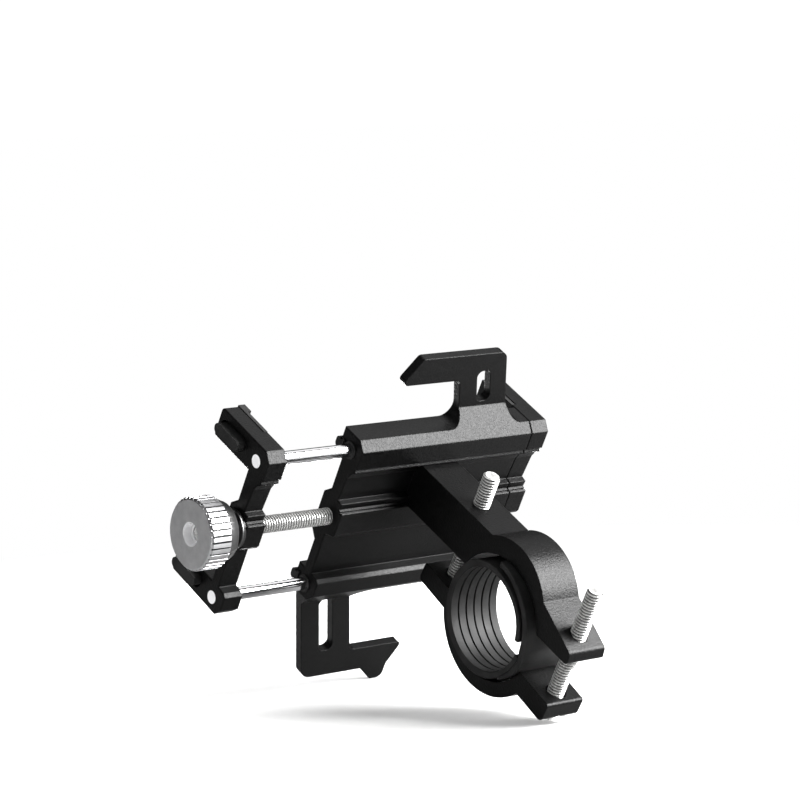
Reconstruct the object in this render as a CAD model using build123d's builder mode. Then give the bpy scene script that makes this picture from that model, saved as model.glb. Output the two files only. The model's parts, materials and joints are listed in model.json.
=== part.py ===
from build123d import *
from math import atan2, cos, degrees, radians, sin
import os

os.makedirs("parts", exist_ok=True)

# Handlebar phone mount, in millimetres. The origin is the centre of the handlebar, midway across the clamp.
# X runs along the handlebar. The mount leans back about X, as it does when it stands on a table.
lean = 30.5
ACROSS = Vector(1, 0, 0)
FORWARD = Vector(0, cos(radians(lean)), sin(radians(lean)))
UPWARD = Vector(0, -sin(radians(lean)), cos(radians(lean)))

# Sketches start at the clamp's middle. The handlebar's centre lies a little forward of it and above it.
bar_centre = (0.9, 0.8)
MIDDLE = -(FORWARD * bar_centre[0] + UPWARD * bar_centre[1])


def section(x):
    """Plane across the handlebar's direction: sketch X is forward, sketch Y is upward."""
    return Plane(origin=MIDDLE + ACROSS * x, x_dir=FORWARD, z_dir=ACROSS)


def sheet(forward):
    """Plane parallel to the phone, facing back: sketch X is across, sketch Y is upward."""
    return Plane(origin=MIDDLE + FORWARD * forward, x_dir=ACROSS, z_dir=-FORWARD)


def level(upward):
    """Plane square to the phone's length: sketch X is across, sketch Y is forward."""
    return Plane(origin=MIDDLE + UPWARD * upward, x_dir=ACROSS, z_dir=UPWARD)


# Body: an extruded bar, as wide as the narrowest phone
body_half = 24.9
end_chamfer = 0.2
body_front = 43.5
channel_front = 41.4
middle_land = (-1.6, 8.2)
middle_land_front = 43.4
upper_land = (18.2, 25.4)
lower_land = (-17.9, -11.4)
body_top = 25.4
body_bottom = -17.9
lobe_back = 35.6
bevel_top = (37.7, body_top)
bevel_bottom = (37.4, body_bottom)
upper_slope = (body_top - 23.4) / (bevel_top[0] - lobe_back)
lower_slope = (body_bottom + 15.9) / (bevel_bottom[0] - lobe_back)
back_profile = [
    bevel_top,
    (lobe_back, 23.4),
    (lobe_back, 18.9),
    (36.3, 18.4),
    (35.9, 17.7),
    (37.1, 16.6),
    (37.7, 15.2),
    (38.2, 9.1),
    (36.7, 8.8),
    (36.9, 7.3),
    (36.4, 7.1),
    (36.4, 6.7),
    (36.0, 6.7),
    (35.9, 7.0),
    (lobe_back, 6.7),
    (lobe_back, 1.2),
    (36.1, 0.4),
    (37.2, 0.1),
    (38.6, -0.5),
    (38.6, -11.4),
    (36.5, -11.62),
    (lobe_back, -12.37),
    (lobe_back, -15.9),
    bevel_bottom,
]

# Hook plates for rubber bands, in one piece with the body
hook_back = 41.3
root_radius = 3.2
upper_hook = [
    ((23.9, body_top), 0),
    ((20.07, body_top), root_radius),
    ((13.73, 42.95), 2.5),
    ((-10.45, 42.95), 1.0),
    ((-14.7, 36.25), 1.1),
    ((2.35, 36.25), 1.8),
    ((6.27, body_top), root_radius),
    ((0.5, body_top), 0),
    ((0.5, 21.0), 0),
    ((23.9, 21.0), 0),
]
upper_slot = [((6.75, 38.3), 1.4), ((10.68, 38.3), 1.4), ((13.68, 30.0), 1.4), ((9.75, 30.0), 1.4)]
lower_hook = [
    ((-24.9, -14.0), 0),
    ((-24.9, body_bottom), 0),
    ((-23.6, body_bottom), 0),
    ((-14.1, -45.15), 3.6),
    ((3.6, -45.15), 0.8),
    ((7.6, -48.95), 1.2),
    ((11.15, -48.95), 1.8),
    ((11.15, -44.9), 2.0),
    ((13.9, -38.78), 0.9),
    ((-1.98, -38.78), 2.4),
    ((-9.54, body_bottom), root_radius),
    ((-3.0, body_bottom), 0),
    ((-3.0, -14.0), 0),
]
lower_slot = [((-17.0, -21.9), 1.4), ((-13.1, -21.9), 1.4), ((-7.55, -37.6), 1.4), ((-11.45, -37.6), 1.4)]

# Jaws: slices of an extrusion with the body's back and two claws round the phone
jaw_thickness = 5.1
claw_tip = 55.3
fixed_jaw_inner = body_half
moving_jaw_inner = fixed_jaw_inner - 70.5
jaw_screw_reach = 4.7

# Rubber pads on the claws
pocket = (44.5, 54.1, 3.4)
stud = (44.7, 53.9, 2.5)
stud_shift = 0.25
stud_proud = 1.8
pad_flange = 1.2
pad_groove = (0.35, 0.4)
pad_flange_back = 44.6
pad_lip = 0.9
pad_lip_back = 52.6

# Guide rods and lead screw, all in one plane parallel to the phone
axis_forward = 39.7
screw_upward = 3.7
rod_upwards = (21.5, -14.9)
rod_radius = 1.5
rod_reach = 44.5
bush_radius = 1.9
bush_length = 5.6
bush_lip = (2.0, 0.25)
screw_radius = 1.95
screw_reach = 48.0
clip_radii = (2.8, 1.5)
clip_recess = (3.1, 1.6)
running_clearance = 0.05

# Countersunk screw from the body's front into the arm
seat_middle = 11.95
arm_screw_radius = 2.5
arm_screw_head = 4.8
arm_screw_reach = 26.0
rod_points = [(axis_forward, upward) for upward in rod_upwards]
screw_point = (axis_forward, screw_upward)

# Knob and thrust washers on the lead screw
knob_radius = 8.1
knob_grip = 5.4
knob_cone = 3.0
knob_cone_radii = (7.7, 6.5)
knob_teeth = 36
knob_tooth_depth = 0.35
knob_recess = (2.65, 2.2)
hub_radius = 3.5
hub_length = 2.2
steel_washer = (4.7, 0.5)
nylon_washer_size = (4.5, 0.5)
thrust_gap = 0.1

# Rubber strips behind the phone
strip_levels = [21.3, -14.7]
strip_half_height = 1.3
strip_proud = 1.05
strip_overhang = 0.4

# Clamp round the handlebar
arm_half = 5.2
arm_end = 38.0
arm_top = 17.5
arm_bottom = 6.4
ring_centre = (0.2, 6.1)
ring_radius = 14.35
split_level = 6.4
clamp_bore = 14.4
clamp_bore_centre = (0.3, 1.2)
lug_end = -24.3
bolts = {"front": (19.9, 25.3, -6.9), "rear": (-19.8, 22.4, -10.1)}
bolt_radius = 1.97
bolt_head = (3.9, 2.2)
strap_tilt = 4.5
strap_radius = 16.5
strap_bore = 13.95
strap_bore_centre = (0.75, 0.5)
strap_lugs = (-23.9, 24.7)
strap_top = -3.1
strap_bottom = -7.9

# Rubber shims in the clamp
shim_half = 6.8
outer_shim_radii = (13.65, 12.3)
outer_shim_arc = (85, 225)
inner_shim_radii = (12.1, 11.2)
inner_shim_thick = 13.4
inner_shim_split = 180
shim_groove_width = 0.5
shim_groove_depth = 0.4
shim_grooves = 5


def outline(corners):
    """Closed face from (point, corner radius) pairs, drawn in the sketch that is open."""
    with BuildSketch(mode=Mode.PRIVATE) as shape:
        with BuildLine():
            Polyline(*[point for point, _ in corners], close=True)
        make_face()
        for point, radius in corners:
            if radius:
                fillet(shape.vertices().sort_by_distance((*point, 0))[0], radius)
    return shape.sketch


def save(piece, label):
    """Names a finished piece and writes its STEP file."""
    piece.part.label = label
    export_step(piece.part, f"parts/{label}.step")


# Body --------------------------------------------------------------------------------------------
# Recessed channels on the phone's side, shared by the body and the jaws
channels = [
    (channel_front, lower_land[1]),
    (channel_front, middle_land[0] - 2.0),
    (middle_land_front, middle_land[0]),
    (middle_land_front, middle_land[1]),
    (channel_front, middle_land[1] + 2.0),
    (channel_front, upper_land[0]),
]
body_profile = back_profile + [
    (body_front, body_bottom),
    (body_front, lower_land[1]),
    *channels,
    (body_front, upper_land[0]),
    (body_front, body_top),
]
with BuildPart() as body:
    with BuildSketch(section(-body_half)):
        add(outline([(point, 0) for point in body_profile]))
    extrude(amount=2 * body_half)
    ends = body.faces().sort_by(Axis.X)
    chamfer(ends[0].edges() + ends[-1].edges(), end_chamfer)
    # Hook plates, as deep as the bar before the cutter thins them
    with BuildSketch(sheet(body_front)):
        add(outline(upper_hook))
        add(outline(upper_slot), mode=Mode.SUBTRACT)
        add(outline(lower_hook))
        add(outline(lower_slot), mode=Mode.SUBTRACT)
    extrude(amount=body_front - lobe_back)
    # The cutter carries each back bevel on up to the hook plate, then leaves the plate
    cutter_back = lobe_back - 2
    with BuildSketch(section(-body_half)):
        with BuildLine():
            Polyline(
                (cutter_back, body_top + (cutter_back - bevel_top[0]) * upper_slope),
                (hook_back, body_top + (hook_back - bevel_top[0]) * upper_slope),
                (hook_back, 50),
                (cutter_back, 50),
                close=True,
            )
        make_face()
        with BuildLine():
            Polyline(
                (cutter_back, body_bottom + (cutter_back - bevel_bottom[0]) * lower_slope),
                (hook_back, body_bottom + (hook_back - bevel_bottom[0]) * lower_slope),
                (hook_back, -55),
                (cutter_back, -55),
                close=True,
            )
        make_face()
    extrude(amount=2 * body_half, mode=Mode.SUBTRACT)
    # T slots for the rubber strips
    with BuildSketch(section(-body_half)):
        with Locations(*[(body_front, upward) for upward in strip_levels]):
            Rectangle(0.7, 1.6, align=(Align.MAX, Align.CENTER))
        with Locations(*[(body_front - 0.7, upward) for upward in strip_levels]):
            Rectangle(0.7, 2.6, align=(Align.MAX, Align.CENTER))
    extrude(amount=2 * body_half, mode=Mode.SUBTRACT)
    # Bores for the guide rods, tapped at the right end for the jaw's screws, and the lead screw's bore
    with BuildSketch(section(-body_half)):
        with Locations(*rod_points):
            Circle(rod_radius + running_clearance)
        with Locations(screw_point):
            Circle(screw_radius + running_clearance)
    extrude(amount=2 * body_half, mode=Mode.SUBTRACT)
    with BuildSketch(section(-body_half)):
        with Locations(*rod_points):
            Circle(bush_radius)
    extrude(amount=bush_length, mode=Mode.SUBTRACT)
    # Seat that keeps the arm from turning, and the countersunk hole for its screw
    with BuildSketch(sheet(arm_end)):
        with Locations((0, seat_middle)):
            Rectangle(2 * arm_half, arm_top - arm_bottom)
    extrude(amount=5.0, mode=Mode.SUBTRACT)
    with BuildSketch(sheet(body_front)):
        with Locations((0, seat_middle)):
            Circle(arm_screw_radius + running_clearance)
    extrude(amount=body_front - arm_end, mode=Mode.SUBTRACT)
    with BuildSketch(sheet(body_front)):
        with Locations((0, seat_middle)):
            Circle(arm_screw_head)
    extrude(amount=body_front - channel_front, mode=Mode.SUBTRACT)
    with BuildSketch(sheet(channel_front)):
        with Locations((0, seat_middle)):
            Circle(arm_screw_head)
    extrude(amount=arm_screw_head - arm_screw_radius, taper=45, mode=Mode.SUBTRACT)
save(body, "body")

# Rod bushes --------------------------------------------------------------------------------------
with BuildPart() as rod_bushes:
    with BuildSketch(section(-body_half - bush_lip[1])):
        with Locations(*rod_points):
            Circle(bush_lip[0])
            Circle(rod_radius + running_clearance, mode=Mode.SUBTRACT)
    extrude(amount=bush_lip[1])
    with BuildSketch(section(-body_half)):
        with Locations(*rod_points):
            Circle(bush_radius)
            Circle(rod_radius + running_clearance, mode=Mode.SUBTRACT)
    extrude(amount=bush_length)
save(rod_bushes, "rod_bushes")


# Rubber strips behind the phone ------------------------------------------------------------------
def strip(upward, label):
    """One T-rooted rubber strip along the body's front."""
    with BuildPart() as piece:
        with BuildSketch(section(-body_half - strip_overhang)) as bead:
            with Locations((body_front, upward)):
                Rectangle(strip_proud, 2 * strip_half_height, align=(Align.MIN, Align.CENTER))
            fillet(bead.vertices().group_by(Axis.X)[-1], 0.9)
            with Locations((body_front, upward)):
                Rectangle(0.7, 1.6, align=(Align.MAX, Align.CENTER))
            with Locations((body_front - 0.7, upward)):
                Rectangle(0.7, 2.6, align=(Align.MAX, Align.CENTER))
        extrude(amount=2 * body_half + strip_overhang)
    save(piece, label)


strip(strip_levels[0], "rest_strip_upper")
strip(strip_levels[1], "rest_strip_lower")


# Jaws --------------------------------------------------------------------------------------------
jaw_profile = (
    [(point, 0) for point in back_profile]
    + [((claw_tip, body_bottom), 1.0), ((claw_tip, lower_land[1]), 0.6)]
    + [(point, 0) for point in channels]
    + [((claw_tip, upper_land[0]), 0.6), ((claw_tip, body_top), 1.0)]
)


def jaw(inner, outward, bores, label):
    """Jaw slice; outward is -1 for the left jaw and 1 for the right. Bores: (points, radius, x, depth)."""
    with BuildPart() as piece:
        with BuildSketch(section(inner)):
            add(outline(jaw_profile))
        extrude(amount=outward * jaw_thickness)
        ends = piece.faces().sort_by(Axis.X)
        chamfer(ends[0].edges() + ends[-1].edges(), end_chamfer)
        for low, high in (upper_land, lower_land):
            # Pocket through the claw, and the flat for the pad's flange
            with BuildSketch(section(inner)) as window:
                with Locations((pocket[0], (low + high) / 2)):
                    Rectangle(pocket[1] - pocket[0], pocket[2], align=(Align.MIN, Align.CENTER))
                fillet(window.vertices(), pocket[2] / 2 - 0.05)
            extrude(amount=outward * jaw_thickness, mode=Mode.SUBTRACT)
            with BuildSketch(section(inner)):
                with Locations((pad_flange_back, (low + high) / 2)):
                    Rectangle(15, high - low + 2, align=(Align.MIN, Align.CENTER))
            extrude(amount=outward * pad_flange, mode=Mode.SUBTRACT)
        for points, radius, start_x, depth in bores:
            with BuildSketch(section(start_x)):
                with Locations(*points):
                    Circle(radius)
            extrude(amount=depth, mode=Mode.SUBTRACT)
    save(piece, label)


def pad(inner, outward, land, outer_side, label):
    """Rubber pad: a flange towards the phone with a lip, and a stud through the claw's pocket."""
    middle = (land[0] + land[1]) / 2
    height = land[1] - land[0]
    with BuildPart() as piece:
        with BuildSketch(section(inner)):
            with Locations((pad_flange_back, middle)):
                Rectangle(claw_tip - pad_flange_back, height, align=(Align.MIN, Align.CENTER))
        extrude(amount=outward * (pad_flange - pad_groove[0]))
        with BuildSketch(section(inner)):
            with Locations((pad_flange_back, middle)):
                Rectangle(
                    claw_tip - pad_flange_back - pad_groove[1],
                    height - 2 * pad_groove[1],
                    align=(Align.MIN, Align.CENTER),
                )
        extrude(amount=outward * pad_flange)
        with BuildSketch(section(inner)):
            with Locations((pad_lip_back, middle)):
                Rectangle(claw_tip - pad_lip_back, height, align=(Align.MIN, Align.CENTER))
        extrude(amount=-outward * pad_lip)
        with BuildSketch(section(inner)) as through:
            with Locations((stud[0], middle - outer_side * stud_shift)):
                Rectangle(stud[1] - stud[0], stud[2], align=(Align.MIN, Align.CENTER))
            fillet(through.vertices(), stud[2] / 2 - 0.05)
        extrude(amount=outward * (jaw_thickness + stud_proud))
    save(piece, label)


fixed_jaw_outer = fixed_jaw_inner + jaw_thickness
moving_jaw_outer = moving_jaw_inner - jaw_thickness
# The fixed jaw has clearance holes and counterbores for its two screws
fixed_bores = [
    (rod_points, 1.55, fixed_jaw_inner, jaw_thickness),
    (rod_points, 2.75, fixed_jaw_outer, -1.9),
]
# The moving jaw has press bores for the rods, a plain bore for the screw and a recess for its clip
moving_bores = [
    (rod_points, rod_radius, moving_jaw_outer, jaw_thickness),
    ([screw_point], screw_radius + running_clearance, moving_jaw_outer, jaw_thickness),
    ([screw_point], clip_recess[0], moving_jaw_inner, -clip_recess[1]),
]
jaw(fixed_jaw_inner, 1, fixed_bores, "fixed_jaw")
jaw(moving_jaw_inner, -1, moving_bores, "moving_jaw")
pad(fixed_jaw_inner, 1, upper_land, 1, "fixed_pad_upper")
pad(fixed_jaw_inner, 1, lower_land, -1, "fixed_pad_lower")
pad(moving_jaw_inner, -1, upper_land, 1, "moving_pad_upper")
pad(moving_jaw_inner, -1, lower_land, -1, "moving_pad_lower")

with BuildPart() as fixed_jaw_screws:
    head_top = fixed_jaw_outer - 0.2
    with BuildSketch(section(head_top)):
        with Locations(*rod_points):
            Circle(2.55)
    extrude(amount=-1.7)
    with BuildSketch(section(head_top)):
        with Locations(*rod_points):
            Circle(1.5)
    extrude(amount=-(jaw_thickness - 0.2 + jaw_screw_reach))
    with BuildSketch(section(head_top)):
        with Locations(*rod_points):
            RegularPolygon(1.15, 6)
    extrude(amount=-1.3, mode=Mode.SUBTRACT)
save(fixed_jaw_screws, "fixed_jaw_screws")


# Guide rods, pressed into the moving jaw ---------------------------------------------------------
def guide_rod(point, label):
    """One guide rod from the jaw's outer face into the body."""
    with BuildPart() as piece:
        with BuildSketch(section(moving_jaw_outer)):
            with Locations(point):
                Circle(rod_radius)
        extrude(amount=jaw_thickness + rod_reach)
        chamfer(piece.faces().sort_by(Axis.X)[-1].edges(), 0.3)
    save(piece, label)


guide_rod(rod_points[0], "guide_rod_upper")
guide_rod(rod_points[1], "guide_rod_lower")

# Lead screw with its clip, thrust washers and knob -----------------------------------------------
nylon_outer = moving_jaw_outer - nylon_washer_size[1]
steel_inner = nylon_outer - thrust_gap
steel_outer = steel_inner - steel_washer[1]
cone_start = steel_outer - hub_length
grip_start = cone_start - knob_cone
knob_face = grip_start - knob_grip
screw_start = knob_face + knob_recess[1] + 0.1
clip_outer = moving_jaw_inner - clip_recess[1] + 0.3
with BuildPart() as lead_screw:
    with BuildSketch(section(screw_start)):
        with Locations(screw_point):
            Circle(screw_radius)
    extrude(amount=moving_jaw_inner + screw_reach - screw_start)
    chamfer(lead_screw.faces().sort_by(Axis.X)[-1].edges(), 0.5)
    chamfer(lead_screw.faces().sort_by(Axis.X)[0].edges(), 0.3)
    with BuildSketch(section(clip_outer)):
        with Locations(screw_point):
            Circle(screw_radius + 1)
            Circle(clip_radii[1], mode=Mode.SUBTRACT)
    extrude(amount=0.8, mode=Mode.SUBTRACT)
save(lead_screw, "lead_screw")

with BuildPart() as retaining_clip:
    with BuildSketch(section(clip_outer)):
        with Locations(screw_point):
            Circle(clip_radii[0])
            Circle(clip_radii[1], mode=Mode.SUBTRACT)
            Rectangle(5, 2.4, align=(Align.MIN, Align.CENTER), mode=Mode.SUBTRACT)
    extrude(amount=0.8)
save(retaining_clip, "retaining_clip")

with BuildPart() as nylon_washer:
    with BuildSketch(section(nylon_outer)):
        with Locations(screw_point):
            Circle(nylon_washer_size[0])
            Circle(screw_radius + running_clearance, mode=Mode.SUBTRACT)
    extrude(amount=nylon_washer_size[1])
save(nylon_washer, "nylon_washer")

with BuildPart() as knob_washer:
    with BuildSketch(section(steel_outer)):
        with Locations(screw_point):
            Circle(steel_washer[0])
            Circle(screw_radius, mode=Mode.SUBTRACT)
    extrude(amount=steel_washer[1])
    chamfer(knob_washer.edges().filter_by(GeomType.CIRCLE).group_by(SortBy.RADIUS)[-1], 0.12)
save(knob_washer, "knob_washer")

with BuildPart() as knob:
    # Straight grip with teeth, then a plain cone and a hub against the washer
    with BuildSketch(section(knob_face)):
        with Locations(screw_point):
            Circle(knob_radius)
    extrude(amount=knob_grip)
    chamfer(knob.faces().sort_by(Axis.X)[0].edges(), 0.5)
    with BuildSketch(section(knob_face)):
        with Locations(screw_point):
            Circle(knob_radius + 2)
            with BuildLine():
                teeth = []
                for i in range(2 * knob_teeth):
                    reach = knob_radius - knob_tooth_depth * (i % 2)
                    turn = radians(180 * i / knob_teeth)
                    teeth.append((axis_forward + reach * cos(turn), screw_upward + reach * sin(turn)))
                Polyline(*teeth, close=True)
            make_face(mode=Mode.SUBTRACT)
    extrude(amount=knob_grip, mode=Mode.SUBTRACT)
    cone_angle = degrees(atan2(knob_cone_radii[0] - knob_cone_radii[1], knob_cone))
    with BuildSketch(section(grip_start)):
        with Locations(screw_point):
            Circle(knob_cone_radii[0])
    extrude(amount=knob_cone, taper=cone_angle)
    with BuildSketch(section(cone_start)):
        with Locations(screw_point):
            Circle(hub_radius)
    extrude(amount=hub_length)
    # Bore for the screw, and the recess where the screw's end shows
    with BuildSketch(section(knob_face)):
        with Locations(screw_point):
            Circle(screw_radius)
    extrude(amount=steel_outer - knob_face, mode=Mode.SUBTRACT)
    with BuildSketch(section(knob_face)):
        with Locations(screw_point):
            Circle(knob_recess[0])
    extrude(amount=knob_recess[1], mode=Mode.SUBTRACT)
save(knob, "knob")

# Arm with the upper half of the clamp ------------------------------------------------------------
arm_outline = [
    (0, arm_bottom - 1),
    (0, arm_top),
    (arm_end, arm_top),
    (arm_end, arm_bottom),
]
lug_outline = [
    ((0, split_level), 0),
    ((0, 14.0), 0),
    ((-11.3, 14.3), 0),
    ((-23.8, 9.3), 1.2),
    ((lug_end, split_level), 0.9),
]
with BuildPart() as clamp_arm:
    with BuildSketch(section(-arm_half)) as profile:
        with Locations(ring_centre):
            Circle(ring_radius)
        with BuildLine():
            Polyline(*arm_outline, close=True)
        make_face()
        add(outline(lug_outline))
        with Locations((0, split_level)):
            Rectangle(80, 40, align=(Align.CENTER, Align.MAX), mode=Mode.SUBTRACT)
        with Locations(clamp_bore_centre):
            Circle(clamp_bore, mode=Mode.SUBTRACT)
    extrude(amount=2 * arm_half)
    # Tapped bores for the clamp bolts and for the arm's screw
    with BuildSketch(level(split_level - 1)):
        with Locations(*[(0, forward) for forward, _, _ in bolts.values()]):
            Circle(bolt_radius + running_clearance)
    extrude(amount=20, mode=Mode.SUBTRACT)
    with BuildSketch(sheet(arm_end)):
        with Locations((0, seat_middle)):
            Circle(arm_screw_radius)
    extrude(amount=arm_end - arm_screw_reach, mode=Mode.SUBTRACT)
save(clamp_arm, "clamp_arm")

with BuildPart() as arm_screw:
    with BuildSketch(sheet(channel_front - 0.2)):
        with Locations((0, seat_middle)):
            Circle(arm_screw_head - 0.2)
    extrude(amount=arm_screw_head - 0.2 - arm_screw_radius, taper=45)
    with BuildSketch(sheet(channel_front - 0.2)):
        with Locations((0, seat_middle)):
            Circle(arm_screw_radius)
    extrude(amount=channel_front - 0.2 - arm_screw_reach - 0.5)
    with BuildSketch(sheet(channel_front - 0.2)):
        with Locations((0, seat_middle)):
            RegularPolygon(1.73, 6)
    extrude(amount=1.6, mode=Mode.SUBTRACT)
save(arm_screw, "arm_screw")


# Lower half of the clamp, tilted by the bolts being done up unevenly -----------------------------
strap_lug_outline = [
    ((strap_lugs[0], strap_bottom), 1.2),
    ((strap_lugs[0], strap_top), 0.7),
    ((strap_lugs[1], strap_top), 0.7),
    ((strap_lugs[1], strap_bottom), 1.2),
]
tilt_x = FORWARD * cos(radians(strap_tilt)) + UPWARD * sin(radians(strap_tilt))
with BuildPart() as clamp_strap:
    with BuildSketch(Plane(origin=MIDDLE + ACROSS * -arm_half, x_dir=tilt_x, z_dir=ACROSS)):
        Circle(strap_radius)
        add(outline(strap_lug_outline))
        with Locations((0, strap_top)):
            Rectangle(80, 40, align=(Align.CENTER, Align.MIN), mode=Mode.SUBTRACT)
        with Locations(strap_bore_centre):
            Circle(strap_bore, mode=Mode.SUBTRACT)
    extrude(amount=2 * arm_half)
    # Clearance holes and countersinks along the bolts
    for forward, _, head_face in bolts.values():
        with BuildSketch(level(head_face)):
            with Locations((0, forward)):
                Circle(bolt_radius + 0.33)
        extrude(amount=10, mode=Mode.SUBTRACT)
        with BuildSketch(level(head_face)):
            with Locations((0, forward)):
                Circle(bolt_head[0])
        extrude(amount=bolt_head[0] - bolt_radius - 0.33, taper=45, mode=Mode.SUBTRACT)
save(clamp_strap, "clamp_strap")


# Clamp bolts -------------------------------------------------------------------------------------
def clamp_bolt(forward, tip, head_face, label):
    """Countersunk bolt, head down, with a hex socket."""
    with BuildPart() as piece:
        with BuildSketch(level(head_face)):
            with Locations((0, forward)):
                Circle(bolt_head[0])
        extrude(amount=bolt_head[0] - bolt_radius, taper=45)
        with BuildSketch(level(head_face)):
            with Locations((0, forward)):
                Circle(bolt_radius)
        extrude(amount=tip - head_face)
        with BuildSketch(level(head_face)):
            with Locations((0, forward)):
                RegularPolygon(1.4, 6)
        extrude(amount=1.4, mode=Mode.SUBTRACT)
    save(piece, label)


clamp_bolt(*bolts["front"], "clamp_bolt_front")
clamp_bolt(*bolts["rear"], "clamp_bolt_rear")

# Rubber shims in the clamp -----------------------------------------------------------------------
def wedge(start, end):
    """Corners of a wide fan about the handlebar's centre, from one angle round to another."""
    angles = [start + (end - start) * i / 4 for i in range(5)]
    reaches = [(40 * cos(radians(angle)), 40 * sin(radians(angle))) for angle in angles]
    return [bar_centre] + [(bar_centre[0] + forward, bar_centre[1] + upward) for forward, upward in reaches]


with BuildPart() as outer_shim:
    with BuildSketch(section(-shim_half)):
        with Locations(bar_centre):
            Circle(outer_shim_radii[0])
            Circle(outer_shim_radii[1], mode=Mode.SUBTRACT)
        with BuildLine():
            Polyline(*wedge(outer_shim_arc[1], outer_shim_arc[0] + 360), close=True)
        make_face(mode=Mode.SUBTRACT)
    extrude(amount=2 * shim_half)
save(outer_shim, "outer_shim")

with BuildPart() as inner_shim:
    # Thick where it lies in the clamp, thin where the outer shim is behind it
    with BuildSketch(section(-shim_half)):
        with Locations(bar_centre):
            Circle(inner_shim_thick)
        with BuildLine():
            Polyline(*wedge(outer_shim_arc[0] - 3, outer_shim_arc[1] + 3), close=True)
        make_face(mode=Mode.SUBTRACT)
        with Locations(bar_centre):
            Circle(inner_shim_radii[0])
            Circle(inner_shim_radii[1], mode=Mode.SUBTRACT)
        split = radians(inner_shim_split)
        with Locations((bar_centre[0] + 11.8 * cos(split), bar_centre[1] + 11.8 * sin(split))):
            Rectangle(3, 1.8, rotation=inner_shim_split, mode=Mode.SUBTRACT)
    extrude(amount=2 * shim_half)
    spacing = 2 * shim_half / (shim_grooves + 1)
    for i in range(shim_grooves):
        with BuildSketch(section(-shim_half + spacing * (i + 1) - shim_groove_width / 2)):
            with Locations(bar_centre):
                Circle(inner_shim_radii[1] + shim_groove_depth)
        extrude(amount=shim_groove_width, mode=Mode.SUBTRACT)
save(inner_shim, "inner_shim")
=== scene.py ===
import json
from math import cos, radians, sin, tau

import bmesh
import bpy
from mathutils import Matrix, Vector


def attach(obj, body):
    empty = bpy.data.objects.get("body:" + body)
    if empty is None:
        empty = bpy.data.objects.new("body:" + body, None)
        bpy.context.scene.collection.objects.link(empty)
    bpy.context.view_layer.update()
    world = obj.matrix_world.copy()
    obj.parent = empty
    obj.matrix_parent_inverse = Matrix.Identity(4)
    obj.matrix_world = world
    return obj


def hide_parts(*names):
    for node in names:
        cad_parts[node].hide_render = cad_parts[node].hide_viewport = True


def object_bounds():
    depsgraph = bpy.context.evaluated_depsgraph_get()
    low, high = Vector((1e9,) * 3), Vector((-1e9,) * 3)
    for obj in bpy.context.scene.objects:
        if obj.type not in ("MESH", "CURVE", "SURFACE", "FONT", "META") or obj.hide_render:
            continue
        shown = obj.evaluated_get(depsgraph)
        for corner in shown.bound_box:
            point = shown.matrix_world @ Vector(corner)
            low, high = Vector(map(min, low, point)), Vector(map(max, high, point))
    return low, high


MM = 0.001

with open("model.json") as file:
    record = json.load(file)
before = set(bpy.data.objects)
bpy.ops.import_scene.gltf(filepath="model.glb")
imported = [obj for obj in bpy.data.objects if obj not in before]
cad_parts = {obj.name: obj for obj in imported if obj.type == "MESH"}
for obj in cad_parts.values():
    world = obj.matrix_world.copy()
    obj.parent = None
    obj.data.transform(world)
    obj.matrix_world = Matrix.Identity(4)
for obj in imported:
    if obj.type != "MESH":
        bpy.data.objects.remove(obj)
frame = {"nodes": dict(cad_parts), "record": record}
cad_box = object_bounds()
nodes = frame["nodes"]

# The mount leans back about X. Local directions: across, forward (towards the phone) and upward.
LEAN = radians(30.5)
ACROSS = Vector((1, 0, 0))
FORWARD = Vector((0, cos(LEAN), sin(LEAN)))
UPWARD = Vector((0, -sin(LEAN), cos(LEAN)))
# Drawn dimensions start at the clamp's middle, a little behind the handlebar's centre and below it
MIDDLE = FORWARD * -0.9 + UPWARD * -0.8


def place(across, forward, upward):
    """Row position of a point given in millimetres along the mount's own directions."""
    return (MIDDLE + ACROSS * across + FORWARD * forward + UPWARD * upward) * MM


# Camera ------------------------------------------------------------------------------------------
TARGET = Vector((-0.01312, 0.01927, 0.04788))
AZIMUTH, ELEVATION, ROLL, DISTANCE = -39.08, 5.08, -1.94, 0.7
camera_data = bpy.data.cameras.new("camera")
camera_data.lens = 142.0
camera_data.sensor_width = 36
camera_data.clip_start = 0.01
camera_data.clip_end = 200
camera = bpy.data.objects.new("camera", camera_data)
turn = Matrix.Rotation(radians(AZIMUTH), 4, "Z") @ Matrix.Rotation(radians(90 - ELEVATION), 4, "X")
turn = turn @ Matrix.Rotation(radians(ROLL), 4, "Z")
camera.matrix_world = Matrix.Translation(TARGET) @ turn @ Matrix.Translation((0, 0, DISTANCE))
bpy.context.scene.collection.objects.link(camera)
bpy.context.scene.camera = camera
bpy.context.scene.view_settings.view_transform = "Standard"


# Light -------------------------------------------------------------------------------------------
def softbox(name, direction, distance, size, power):
    """Rectangular area light that shines at the mount from this direction."""
    data = bpy.data.lights.new(name, "AREA")
    data.shape = "RECTANGLE"
    data.size, data.size_y = size
    data.energy = power
    light = bpy.data.objects.new(name, data)
    away = Vector(direction).normalized()
    light.location = TARGET + away * distance
    light.rotation_euler = away.to_track_quat("Z", "Y").to_euler()
    light.visible_camera = False
    bpy.context.scene.collection.objects.link(light)


softbox("key", (0.63, -0.66, 0.41), 0.7, (0.45, 0.6), 28.5)
softbox("top", (0.45, 0.25, 0.85), 0.8, (0.6, 0.6), 1.3)
softbox("left", (-0.9, 0.1, 0.45), 0.8, (0.3, 0.5), 0.6)
softbox("card", (0.62, 0.72, -0.26), 0.22, (0.2, 0.05), 0.8)

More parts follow.
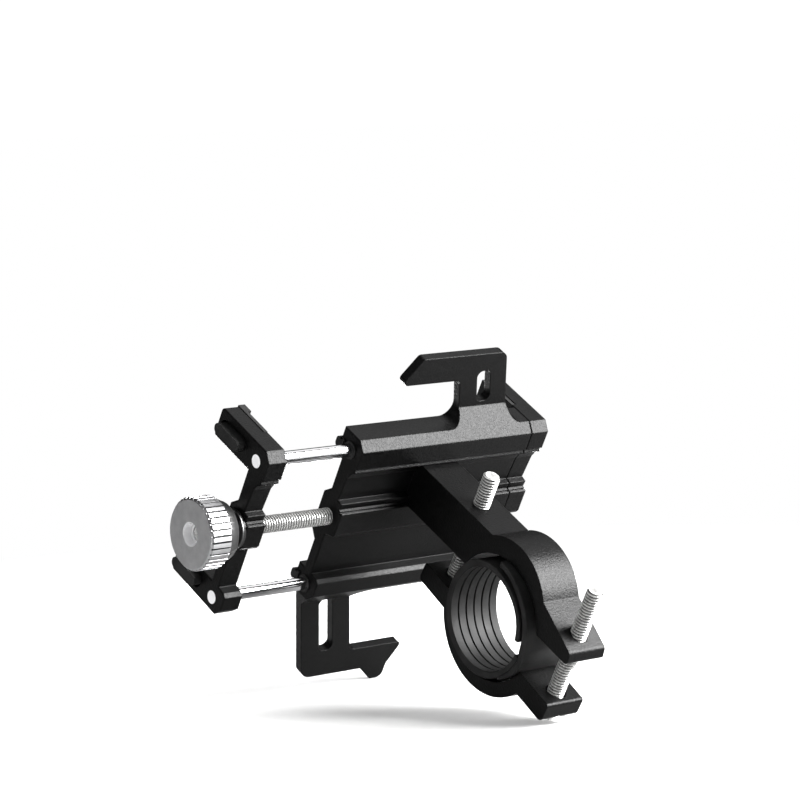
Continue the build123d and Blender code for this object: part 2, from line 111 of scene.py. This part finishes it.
# The room is white to the eye and on the paper, and dimmer where it is mirrored in the metal
world = bpy.data.worlds.new("studio")
bpy.context.scene.world = world
world.use_nodes = True
room = world.node_tree
room.nodes.clear()
room_out = room.nodes.new("ShaderNodeOutputWorld")
choose = room.nodes.new("ShaderNodeMixShader")
ray = room.nodes.new("ShaderNodeLightPath")
ROOM_SEEN, ROOM_MIRRORED = 1.1, 0.04
for strength, socket in ((ROOM_SEEN, 1), (ROOM_MIRRORED, 2)):
    white = room.nodes.new("ShaderNodeBackground")
    white.inputs["Color"].default_value = (1, 1, 1, 1)
    white.inputs["Strength"].default_value = strength
    room.links.new(white.outputs["Background"], choose.inputs[socket])
room.links.new(ray.outputs["Is Glossy Ray"], choose.inputs["Fac"])
room.links.new(choose.outputs["Shader"], room_out.inputs["Surface"])


# Materials ---------------------------------------------------------------------------------------
def material(name, color, metallic, roughness, build, **sockets):
    """Principled material; build adds its nodes for colour variation, roughness and bump."""
    made = bpy.data.materials.new(name)
    made.use_nodes = True
    tree = made.node_tree
    shader = tree.nodes["Principled BSDF"]
    shader.inputs["Base Color"].default_value = (*color, 1)
    shader.inputs["Metallic"].default_value = metallic
    shader.inputs["Roughness"].default_value = roughness
    for socket, value in sockets.items():
        shader.inputs[socket.replace("_", " ")].default_value = value
    build(tree, shader)
    return made


def coordinates(tree, scale=(1, 1, 1)):
    """Object coordinates, which are the row's metres, stretched."""
    source = tree.nodes.new("ShaderNodeTexCoord")
    mapping = tree.nodes.new("ShaderNodeMapping")
    mapping.inputs["Scale"].default_value = scale
    tree.links.new(source.outputs["Object"], mapping.inputs["Vector"])
    return mapping.outputs["Vector"]


def noise(tree, vector, scale, detail=2.0, roughness=0.5):
    """Noise texture, as its factor output."""
    node = tree.nodes.new("ShaderNodeTexNoise")
    node.inputs["Scale"].default_value = scale
    node.inputs["Detail"].default_value = detail
    node.inputs["Roughness"].default_value = roughness
    tree.links.new(vector, node.inputs["Vector"])
    return node.outputs["Fac"]


def spread(tree, factor, low, high, start=0.3, end=0.7):
    """Maps a factor from start..end to low..high."""
    node = tree.nodes.new("ShaderNodeMapRange")
    node.inputs["From Min"].default_value = start
    node.inputs["From Max"].default_value = end
    node.inputs["To Min"].default_value = low
    node.inputs["To Max"].default_value = high
    tree.links.new(factor, node.inputs["Value"])
    return node.outputs["Result"]


def tint(tree, factor, dark, light):
    """Colour between dark and light by a factor."""
    node = tree.nodes.new("ShaderNodeMix")
    node.data_type = "RGBA"
    node.inputs["A"].default_value = (*dark, 1)
    node.inputs["B"].default_value = (*light, 1)
    tree.links.new(factor, node.inputs["Factor"])
    return node.outputs["Result"]


def mixed(tree, factor, color, other):
    """A colour output that turns into a fixed colour by a factor."""
    node = tree.nodes.new("ShaderNodeMix")
    node.data_type = "RGBA"
    node.inputs["B"].default_value = (*other, 1)
    tree.links.new(color, node.inputs["A"])
    tree.links.new(factor, node.inputs["Factor"])
    return node.outputs["Result"]


def chained(tree, operation, *factors):
    """Sum or product of factor outputs, by the Math node's operation."""
    result = factors[0]
    for factor in factors[1:]:
        node = tree.nodes.new("ShaderNodeMath")
        node.operation = operation
        tree.links.new(result, node.inputs[0])
        tree.links.new(factor, node.inputs[1])
        result = node.outputs["Value"]
    return result


def vector_math(tree, operation, vector, other=(0, 0, 0)):
    """Vector math node between an output and a fixed vector."""
    node = tree.nodes.new("ShaderNodeVectorMath")
    node.operation = operation
    node.inputs[1].default_value = other
    tree.links.new(vector, node.inputs[0])
    return node.outputs["Value" if operation == "LENGTH" else "Vector"]


def bump(tree, height, distance, strength, normal=None):
    """Bump node, chained on another's normal if given."""
    node = tree.nodes.new("ShaderNodeBump")
    node.inputs["Distance"].default_value = distance
    node.inputs["Strength"].default_value = strength
    tree.links.new(height, node.inputs["Height"])
    if normal:
        tree.links.new(normal, node.inputs["Normal"])
    return node.outputs["Normal"]


def edge(tree, radius):
    """Normal that rounds the sharp edges."""
    node = tree.nodes.new("ShaderNodeBevel")
    node.samples = 6
    node.inputs["Radius"].default_value = radius * MM
    return node.outputs["Normal"]


def anodised(tree, shader):
    """Fine bead-blasted grain under a satin black dye."""
    vector = coordinates(tree)
    grain = noise(tree, vector, 2600, 1.0, 0.6)
    dark, light = (0.0004, 0.0004, 0.0004), (0.0030, 0.0030, 0.0031)
    color = tint(tree, spread(tree, grain, 0, 1), dark, light)
    tree.links.new(color, shader.inputs["Base Color"])
    tree.links.new(spread(tree, grain, 0.30, 0.46), shader.inputs["Roughness"])
    tree.links.new(bump(tree, grain, 0.00006, 1.0, edge(tree, 0.35)), shader.inputs["Normal"])


def rubber(tree, shader):
    """Moulded rubber with a fine matte texture and slight bloom."""
    vector = coordinates(tree)
    grain = noise(tree, vector, 3200, 4.0, 0.65)
    cloud = noise(tree, vector, 220, 2.0)
    color = tint(tree, spread(tree, cloud, 0, 1), (0.008, 0.008, 0.008), (0.016, 0.016, 0.016))
    tree.links.new(color, shader.inputs["Base Color"])
    tree.links.new(spread(tree, cloud, 0.55, 0.68), shader.inputs["Roughness"])
    tree.links.new(bump(tree, grain, 0.00003, 0.6), shader.inputs["Normal"])


def shim_rubber(tree, shader):
    """Softer grey-black rubber of the clamp's shims."""
    vector = coordinates(tree)
    grain = noise(tree, vector, 2600, 4.0, 0.65)
    cloud = noise(tree, vector, 260, 2.0)
    color = tint(tree, spread(tree, cloud, 0, 1), (0.006, 0.006, 0.006), (0.014, 0.014, 0.014))
    tree.links.new(color, shader.inputs["Base Color"])
    tree.links.new(spread(tree, cloud, 0.5, 0.62), shader.inputs["Roughness"])
    tree.links.new(bump(tree, grain, 0.00003, 0.6), shader.inputs["Normal"])


def chrome(tree, shader):
    """Ground and chromed rod: near mirror with faint lengthwise grinding, duller where sawn."""
    vector = coordinates(tree, (40, 6000, 6000))
    lines = noise(tree, vector, 1.0, 2.0)
    facing = tree.nodes.new("ShaderNodeNewGeometry")
    along = tree.nodes.new("ShaderNodeSeparateXYZ")
    tree.links.new(facing.outputs["True Normal"], along.inputs["Vector"])
    sawn = spread(tree, along.outputs["X"], 1, 0, -0.9, -0.8)
    roughness = chained(
        tree, "ADD", spread(tree, lines, 0.08, 0.16), spread(tree, sawn, 0, 0.45, 0, 1)
    )
    tree.links.new(roughness, shader.inputs["Roughness"])
    tree.links.new(spread(tree, sawn, 1, 0.2, 0, 1), shader.inputs["Metallic"])
    tree.links.new(bump(tree, lines, 0.000004, 0.4), shader.inputs["Normal"])


def zinc(tree, shader):
    """Bright zinc plate, slightly cloudy."""
    vector = coordinates(tree)
    cloud = noise(tree, vector, 900, 3.0)
    color = tint(tree, spread(tree, cloud, 0, 1), (0.48, 0.48, 0.47), (0.60, 0.60, 0.59))
    # The painted shade layer is 1 in the threads' roots, where painted shade darkens the plating
    painted_shade = tree.nodes.new("ShaderNodeAttribute")
    painted_shade.attribute_name = "painted_shade"
    color = mixed(tree, painted_shade.outputs["Fac"], color, (0.02, 0.02, 0.02))
    tree.links.new(color, shader.inputs["Base Color"])
    tree.links.new(spread(tree, cloud, 0.22, 0.34), shader.inputs["Roughness"])
    grain = noise(tree, vector, 4000, 2.0)
    tree.links.new(bump(tree, grain, 0.00001, 0.2), shader.inputs["Normal"])


SCREW_AXIS = (39.7, 3.7)
KNOB_FACE, GRIP_END, CONE_END, HUB_END = -62.4, -57.0, -54.0, -51.8
LAND, GROOVE, CONE, RECESS = 8.1, 7.7, 6.4, 2.65


def turned(tree, shader):
    """Clear anodised aluminium with fine rings from the lathe, centred on the screw."""
    source = tree.nodes.new("ShaderNodeTexCoord")
    offset = vector_math(tree, "SUBTRACT", source.outputs["Object"], place(0, *SCREW_AXIS))
    reach = vector_math(tree, "LENGTH", vector_math(tree, "MULTIPLY", offset, (0, 1, 1)))
    rings = tree.nodes.new("ShaderNodeTexNoise")
    rings.noise_dimensions = "1D"
    rings.inputs["Scale"].default_value = 5200
    rings.inputs["Detail"].default_value = 3
    tree.links.new(reach, rings.inputs["W"])
    cloud = noise(tree, offset, 500, 2.0)
    color = tint(tree, spread(tree, cloud, 0, 1), (0.60, 0.60, 0.61), (0.70, 0.70, 0.71))
    along = tree.nodes.new("ShaderNodeSeparateXYZ")
    tree.links.new(offset, along.inputs["Vector"])
    # Painted shade and dirt in the knurl's grooves, and painted shade darkening the cone and
    # washer
    low = spread(tree, reach, 1, 0, (GROOVE + 0.15) * MM, (LAND - 0.08) * MM)
    rim = (KNOB_FACE + 0.3) * MM, (KNOB_FACE + 0.45) * MM
    past_rim = spread(tree, along.outputs["X"], 0, 1, *rim)
    cone_painted_shade = spread(tree, along.outputs["X"], 0, 1, (GRIP_END - 0.05) * MM, GRIP_END * MM)
    outside = spread(tree, reach, 0, 1, CONE * MM, (CONE + 0.2) * MM)
    groove_shade_and_dirt = chained(tree, "MULTIPLY", low, past_rim, outside)
    color = mixed(tree, groove_shade_and_dirt, color, (0.03, 0.03, 0.03))
    color = mixed(tree, cone_painted_shade, color, (0.13, 0.13, 0.13))
    tree.links.new(color, shader.inputs["Base Color"])
    in_recess = spread(tree, reach, 1, 0, (RECESS + 0.02) * MM, (RECESS + 0.08) * MM)
    tree.links.new(spread(tree, in_recess, 1, 0.2, 0, 1), shader.inputs["Metallic"])
    tree.links.new(spread(tree, rings.outputs["Fac"], 0.32, 0.46), shader.inputs["Roughness"])
    tree.links.new(bump(tree, rings.outputs["Fac"], 0.000008, 0.5), shader.inputs["Normal"])


def black_oxide(tree, shader):
    """Black oxide steel of the hidden screws."""
    vector = coordinates(tree)
    cloud = noise(tree, vector, 1200, 3.0)
    color = tint(tree, spread(tree, cloud, 0, 1), (0.02, 0.02, 0.02), (0.045, 0.045, 0.045))
    tree.links.new(color, shader.inputs["Base Color"])
    tree.links.new(spread(tree, cloud, 0.3, 0.45), shader.inputs["Roughness"])


def nylon(tree, shader):
    """Black moulded nylon."""
    vector = coordinates(tree)
    cloud = noise(tree, vector, 800, 2.0)
    color = tint(tree, spread(tree, cloud, 0, 1), (0.010, 0.010, 0.010), (0.020, 0.020, 0.020))
    tree.links.new(color, shader.inputs["Base Color"])
    tree.links.new(spread(tree, cloud, 0.4, 0.5), shader.inputs["Roughness"])


finishes = {
    "black_aluminium": material(
        "black_anodised", (0.01, 0.01, 0.01), 0.0, 0.30, anodised, Specular_IOR_Level=0.16
    ),
    "chrome_steel": material("chromed_rod", (0.80, 0.80, 0.81), 1.0, 0.1, chrome),
    "zinc_steel": material("zinc_plate", (0.7, 0.7, 0.69), 0.5, 0.24, zinc),
    "bare_aluminium": material("turned_aluminium", (0.66, 0.66, 0.67), 1.0, 0.38, turned),
    "black_steel": material("black_oxide", (0.03, 0.03, 0.03), 1.0, 0.38, black_oxide),
    "black_rubber": material(
        "black_rubber", (0.012, 0.012, 0.012), 0.0, 0.6, rubber, Specular_IOR_Level=0.25
    ),
    "shim_rubber": material(
        "shim_rubber", (0.01, 0.01, 0.01), 0.0, 0.55, shim_rubber, Specular_IOR_Level=0.22
    ),
    "black_plastic": material(
        "black_nylon", (0.015, 0.015, 0.015), 0.0, 0.45, nylon, Specular_IOR_Level=0.3
    ),
}
slot_of = {part["node"]: part["material_slot"] for part in frame["record"]["subparts"]}


def dress(piece, slot_name):
    """Gives a piece one of the finishes."""
    piece.data.materials.clear()
    piece.data.materials.append(finishes[slot_name])


for name, piece in nodes.items():
    dress(piece, slot_of[name])


# Pieces drawn finer than the CAD -----------------------------------------------------------------
def finished(made, name, body):
    """Turns a bmesh into a piece that rides a body and stands for the CAD node of its name."""
    bmesh.ops.remove_doubles(made, verts=made.verts, dist=0.001 * MM)
    bmesh.ops.recalc_face_normals(made, faces=made.faces)
    mesh = bpy.data.meshes.new(f"{name}_fine")
    made.to_mesh(mesh)
    made.free()
    mesh.shade_smooth()
    mesh.set_sharp_from_angle(angle=radians(28))
    piece = bpy.data.objects.new(f"{name}_fine", mesh)
    bpy.context.scene.collection.objects.link(piece)
    dress(piece, slot_of[name])
    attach(piece, body)
    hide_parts(name)
    return piece


def painted_shade_layer(made):
    """The vertex layer of painted shade that darkens the zinc plate."""
    layers = made.verts.layers.float
    return layers.get("painted_shade") or layers.new("painted_shade")


def lathe(made, base, axis, side, profile, segments=36, closed=False, shade=0):
    """Surface through rings about an axis. Profile: (distance, radius) in millimetres; a radius
    may be a function of the angle. Shade is the painted shade layer's value on its vertices."""
    other = axis.cross(side)
    painted_shade = painted_shade_layer(made)
    rings = []
    for distance, radius in profile:
        ring = []
        for j in range(segments):
            angle = tau * j / segments
            reach = radius(angle) if callable(radius) else radius
            around = side * cos(angle) + other * sin(angle)
            ring.append(made.verts.new(base + (axis * distance + around * reach) * MM))
            ring[-1][painted_shade] = shade
        rings.append(ring)
    if closed:
        rings.append(rings[0])
    for low, high in zip(rings, rings[1:]):
        for j in range(segments):
            k = (j + 1) % segments
            made.faces.new((low[j], low[k], high[k], high[j]))


# Share of a turn and share of the thread's depth
THREAD = [(0, 0), (0.14, 0), (0.5, 1), (0.64, 1)]
PITCH = 0.7
THREAD_DEPTH = 0.38
SCREW_RADIUS, BOLT_RADIUS = 1.95, 1.97


def thread(made, base, axis, side, length, radius, segments=36):
    """Right-hand thread along an axis, run out to its core at both ends."""
    other = axis.cross(side)
    turns = int(length / PITCH) + 3
    painted_shade = painted_shade_layer(made)
    rows = []
    for turn in range(turns):
        for share, cut in THREAD:
            row = []
            for j in range(segments):
                run = min(max((turn - 1 + share + j / segments) * PITCH, 0), length)
                core = radius - THREAD_DEPTH
                reach = min(radius - THREAD_DEPTH * cut, core + min(run, length - run))
                angle = tau * j / segments
                around = side * cos(angle) + other * sin(angle)
                row.append(made.verts.new(base + (axis * run + around * reach) * MM))
                # Painted shade: the layer follows the cut, darkest in the thread's roots
                row[-1][painted_shade] = cut if 0 < run < length else 0
            rows.append(row)
    for i in range(len(rows) - 1 - len(THREAD)):
        low, high = rows[i], rows[i + 1]
        for j in range(segments - 1):
            made.faces.new((low[j], low[j + 1], high[j + 1], high[j]))
        low_next, high_next = rows[i + len(THREAD)], rows[i + 1 + len(THREAD)]
        made.faces.new((low[-1], low_next[0], high_next[0], high[-1]))


# Lead screw: plain shank through the knob and the jaw with the clip's groove, then the thread
screw = bmesh.new()
start, groove, thread_start, screw_end = -60.1, -46.9, -46.1, 2.4
core, groove_radius, chamfer = SCREW_RADIUS - THREAD_DEPTH, 1.5, 0.3
shank = [(start, 0), (start, SCREW_RADIUS - chamfer), (start + chamfer, SCREW_RADIUS)]
shank += [(groove, SCREW_RADIUS), (groove, groove_radius)]
shank += [(thread_start, groove_radius), (thread_start, core)]
lathe(screw, place(0, *SCREW_AXIS), ACROSS, FORWARD, shank)
screw_length = screw_end - thread_start
screw_base = place(thread_start, *SCREW_AXIS)
thread(screw, screw_base, ACROSS, FORWARD, screw_length, SCREW_RADIUS)
lathe(screw, screw_base, ACROSS, FORWARD, [(screw_length, core), (screw_length, 0)])
finished(screw, "lead_screw", "knob")


def hexagon(flat):
    """Radius of a hexagonal hole at an angle, from half its width across the flats."""
    return lambda angle: flat / cos(angle % (tau / 6) - tau / 12)


SOCKET, SOCKET_DEPTH = 1.21, 1.4
HEAD_RADIUS, HEAD_CONE, HEAD_DEPTH = 3.82, 1.9, 2.1


def bolt(name, body, forward, tip, head_face):
    """Countersunk socket bolt, head down, threaded all the way."""
    made = bmesh.new()
    core = BOLT_RADIUS - THREAD_DEPTH
    head = [(SOCKET_DEPTH, 0), (SOCKET_DEPTH, hexagon(SOCKET)), (0.12, hexagon(SOCKET))]
    head += [(0, hexagon(SOCKET + 0.09)), (0, HEAD_RADIUS - 0.1), (0.06, HEAD_RADIUS)]
    head += [(HEAD_CONE, BOLT_RADIUS), (HEAD_DEPTH, core)]
    lathe(made, place(0, forward, head_face), UPWARD, ACROSS, head)
    start = place(0, forward, head_face + HEAD_DEPTH)
    length = tip - head_face - HEAD_DEPTH
    thread(made, start, UPWARD, ACROSS, length, BOLT_RADIUS)
    # The tip's end face gets painted shade too
    lathe(made, start, UPWARD, ACROSS, [(length, core), (length, 0)], shade=0.6)
    finished(made, name, body)


bolt("clamp_bolt_front", "bolt_front", 19.9, 25.3, -6.9)
bolt("clamp_bolt_rear", "bolt_rear", -19.8, 22.4, -10.1)

# Knob: broad flat lands between narrow grooves, a plain cone and a hub
TEETH = 36
SEGMENTS_PER_TOOTH = 12
HALF_GROOVE = 0.1


def knurl(limit):
    """Radius round the grip: lands with grooves cut into them, neither above a limit."""

    def radius(angle):
        share = angle / tau * TEETH % 1
        in_groove = share < HALF_GROOVE or share > 1 - HALF_GROOVE
        return min(limit, GROOVE if in_groove else LAND)

    return radius


knob = bmesh.new()
bore, hub, recess_depth, rim = 1.96, 3.5, 2.2, 7.55
outline = [(KNOB_FACE + 3.4, bore), (KNOB_FACE + recess_depth, bore)]
outline += [(KNOB_FACE + recess_depth, RECESS - 0.05), (KNOB_FACE + recess_depth - 0.1, RECESS)]
outline += [(KNOB_FACE + 0.1, RECESS), (KNOB_FACE, RECESS + 0.1), (KNOB_FACE, rim)]
outline += [(KNOB_FACE + 0.25, knurl(7.8)), (KNOB_FACE + 0.55, knurl(LAND))]
outline += [(GRIP_END - 0.2, knurl(LAND)), (GRIP_END, knurl(7.9)), (GRIP_END, GROOVE)]
outline += [(CONE_END - 0.15, CONE + 0.16), (CONE_END, CONE), (CONE_END, hub)]
outline += [(HUB_END, hub), (HUB_END, bore)]
knob_segments = TEETH * SEGMENTS_PER_TOOTH
knob_base = place(0, *SCREW_AXIS)
lathe(knob, knob_base, ACROSS, FORWARD, outline, segments=knob_segments, closed=True)
finished(knob, "knob", "knob")


def ease(value, low, high):
    """Smooth step from 0 at low to 1 at high."""
    share = min(max((value - low) / (high - low), 0), 1)
    return share * share * (3 - 2 * share)


def shim(name, start, end, bore, thickness, grooves):
    """Split rubber ring about the handlebar, from one angle round to another in degrees. Bore and
    thickness are functions of the angle; the bore has grooves all round."""
    made = bmesh.new()
    half, chamfer, steps = 6.8, 0.15, 160
    groove_half, groove_flank, groove_depth = 0.25, 0.08, 0.4
    spacing = 2 * half / (grooves + 1)
    # Section of the wall as (across, share of the thickness, depth below the bore)
    wall = [(-half, 0, chamfer), (-half + chamfer, 0, 0)]
    for i in range(grooves):
        middle = -half + spacing * (i + 1)
        left, right = middle - groove_half, middle + groove_half
        wall += [(left, 0, 0), (left + groove_flank, 0, groove_depth)]
        wall += [(right - groove_flank, 0, groove_depth), (right, 0, 0)]
    wall += [(half - chamfer, 0, 0), (half, 0, chamfer), (half, 1, -chamfer)]
    wall += [(half - chamfer, 1, 0), (-half + chamfer, 1, 0), (-half, 1, -chamfer)]
    rings = []
    for i in range(steps + 1):
        angle = start + (end - start) * i / steps
        around = FORWARD * cos(radians(angle)) + UPWARD * sin(radians(angle))
        inside, across_wall = bore(angle), thickness(angle)
        rings.append(
            [
                made.verts.new((ACROSS * x + around * (inside + share * across_wall + depth)) * MM)
                for x, share, depth in wall
            ]
        )
    for low, high in zip(rings, rings[1:]):
        for j in range(len(wall)):
            k = (j + 1) % len(wall)
            made.faces.new((low[j], low[k], high[k], high[j]))
    made.faces.new(rings[0])
    made.faces.new(rings[-1])
    finished(made, name, "frame")


# The inner shim lies against the clamp in front and springs inwards to its free end behind
shim(
    "inner_shim",
    186,
    531,
    lambda angle: 11.7 - 1.6 * ease(angle, 395, 480),
    lambda angle: 1.3 + 0.4 * ease(angle, 215, 245) - 0.5 * ease(angle, 395, 470),
    5,
)
# The outer shim is behind it, its upper end sprung outwards
shim(
    "outer_shim",
    84,
    225,
    lambda angle: 12.25 + 0.9 * (1 - ease(angle, 80, 125)) + 0.75 * ease(angle, 175, 190),
    lambda angle: 1.35 - 0.65 * ease(angle, 195, 225),
    0,
)

# Floor -------------------------------------------------------------------------------------------
FLOOR_HALF = 60
floor_mesh = bpy.data.meshes.new("floor")
made = bmesh.new()
bmesh.ops.create_grid(made, x_segments=8, y_segments=8, size=FLOOR_HALF)
made.to_mesh(floor_mesh)
made.free()
ground = bpy.data.objects.new("floor", floor_mesh)
ground.location = (0, 0, cad_box[0][2])
bpy.context.scene.collection.objects.link(ground)


def paper(tree, shader):
    """White paper: shaded under the mount, plain white away from it, dim where it is mirrored."""
    vector = coordinates(tree)
    cloud = noise(tree, vector, 300, 2.0)
    color = tint(tree, spread(tree, cloud, 0, 1), (0.55, 0.55, 0.55), (0.57, 0.57, 0.57))
    tree.links.new(color, shader.inputs["Base Color"])
    away = vector_math(tree, "LENGTH", vector)
    glow = tree.nodes.new("ShaderNodeEmission")
    fade = tree.nodes.new("ShaderNodeMixShader")
    tree.links.new(spread(tree, away, 0, 1, 0.1, 0.32), fade.inputs["Fac"])
    tree.links.new(shader.outputs["BSDF"], fade.inputs[1])
    tree.links.new(glow.outputs["Emission"], fade.inputs[2])
    mirrored = tree.nodes.new("ShaderNodeBsdfDiffuse")
    mirrored.inputs["Color"].default_value = (0.2, 0.2, 0.2, 1)
    choice = tree.nodes.new("ShaderNodeMixShader")
    kind = tree.nodes.new("ShaderNodeLightPath")
    tree.links.new(kind.outputs["Is Glossy Ray"], choice.inputs["Fac"])
    tree.links.new(fade.outputs["Shader"], choice.inputs[1])
    tree.links.new(mirrored.outputs["BSDF"], choice.inputs[2])
    tree.links.new(choice.outputs["Shader"], tree.nodes["Material Output"].inputs["Surface"])


floor_mesh.materials.append(material("paper", (0.95, 0.95, 0.95), 0.0, 0.9, paper))
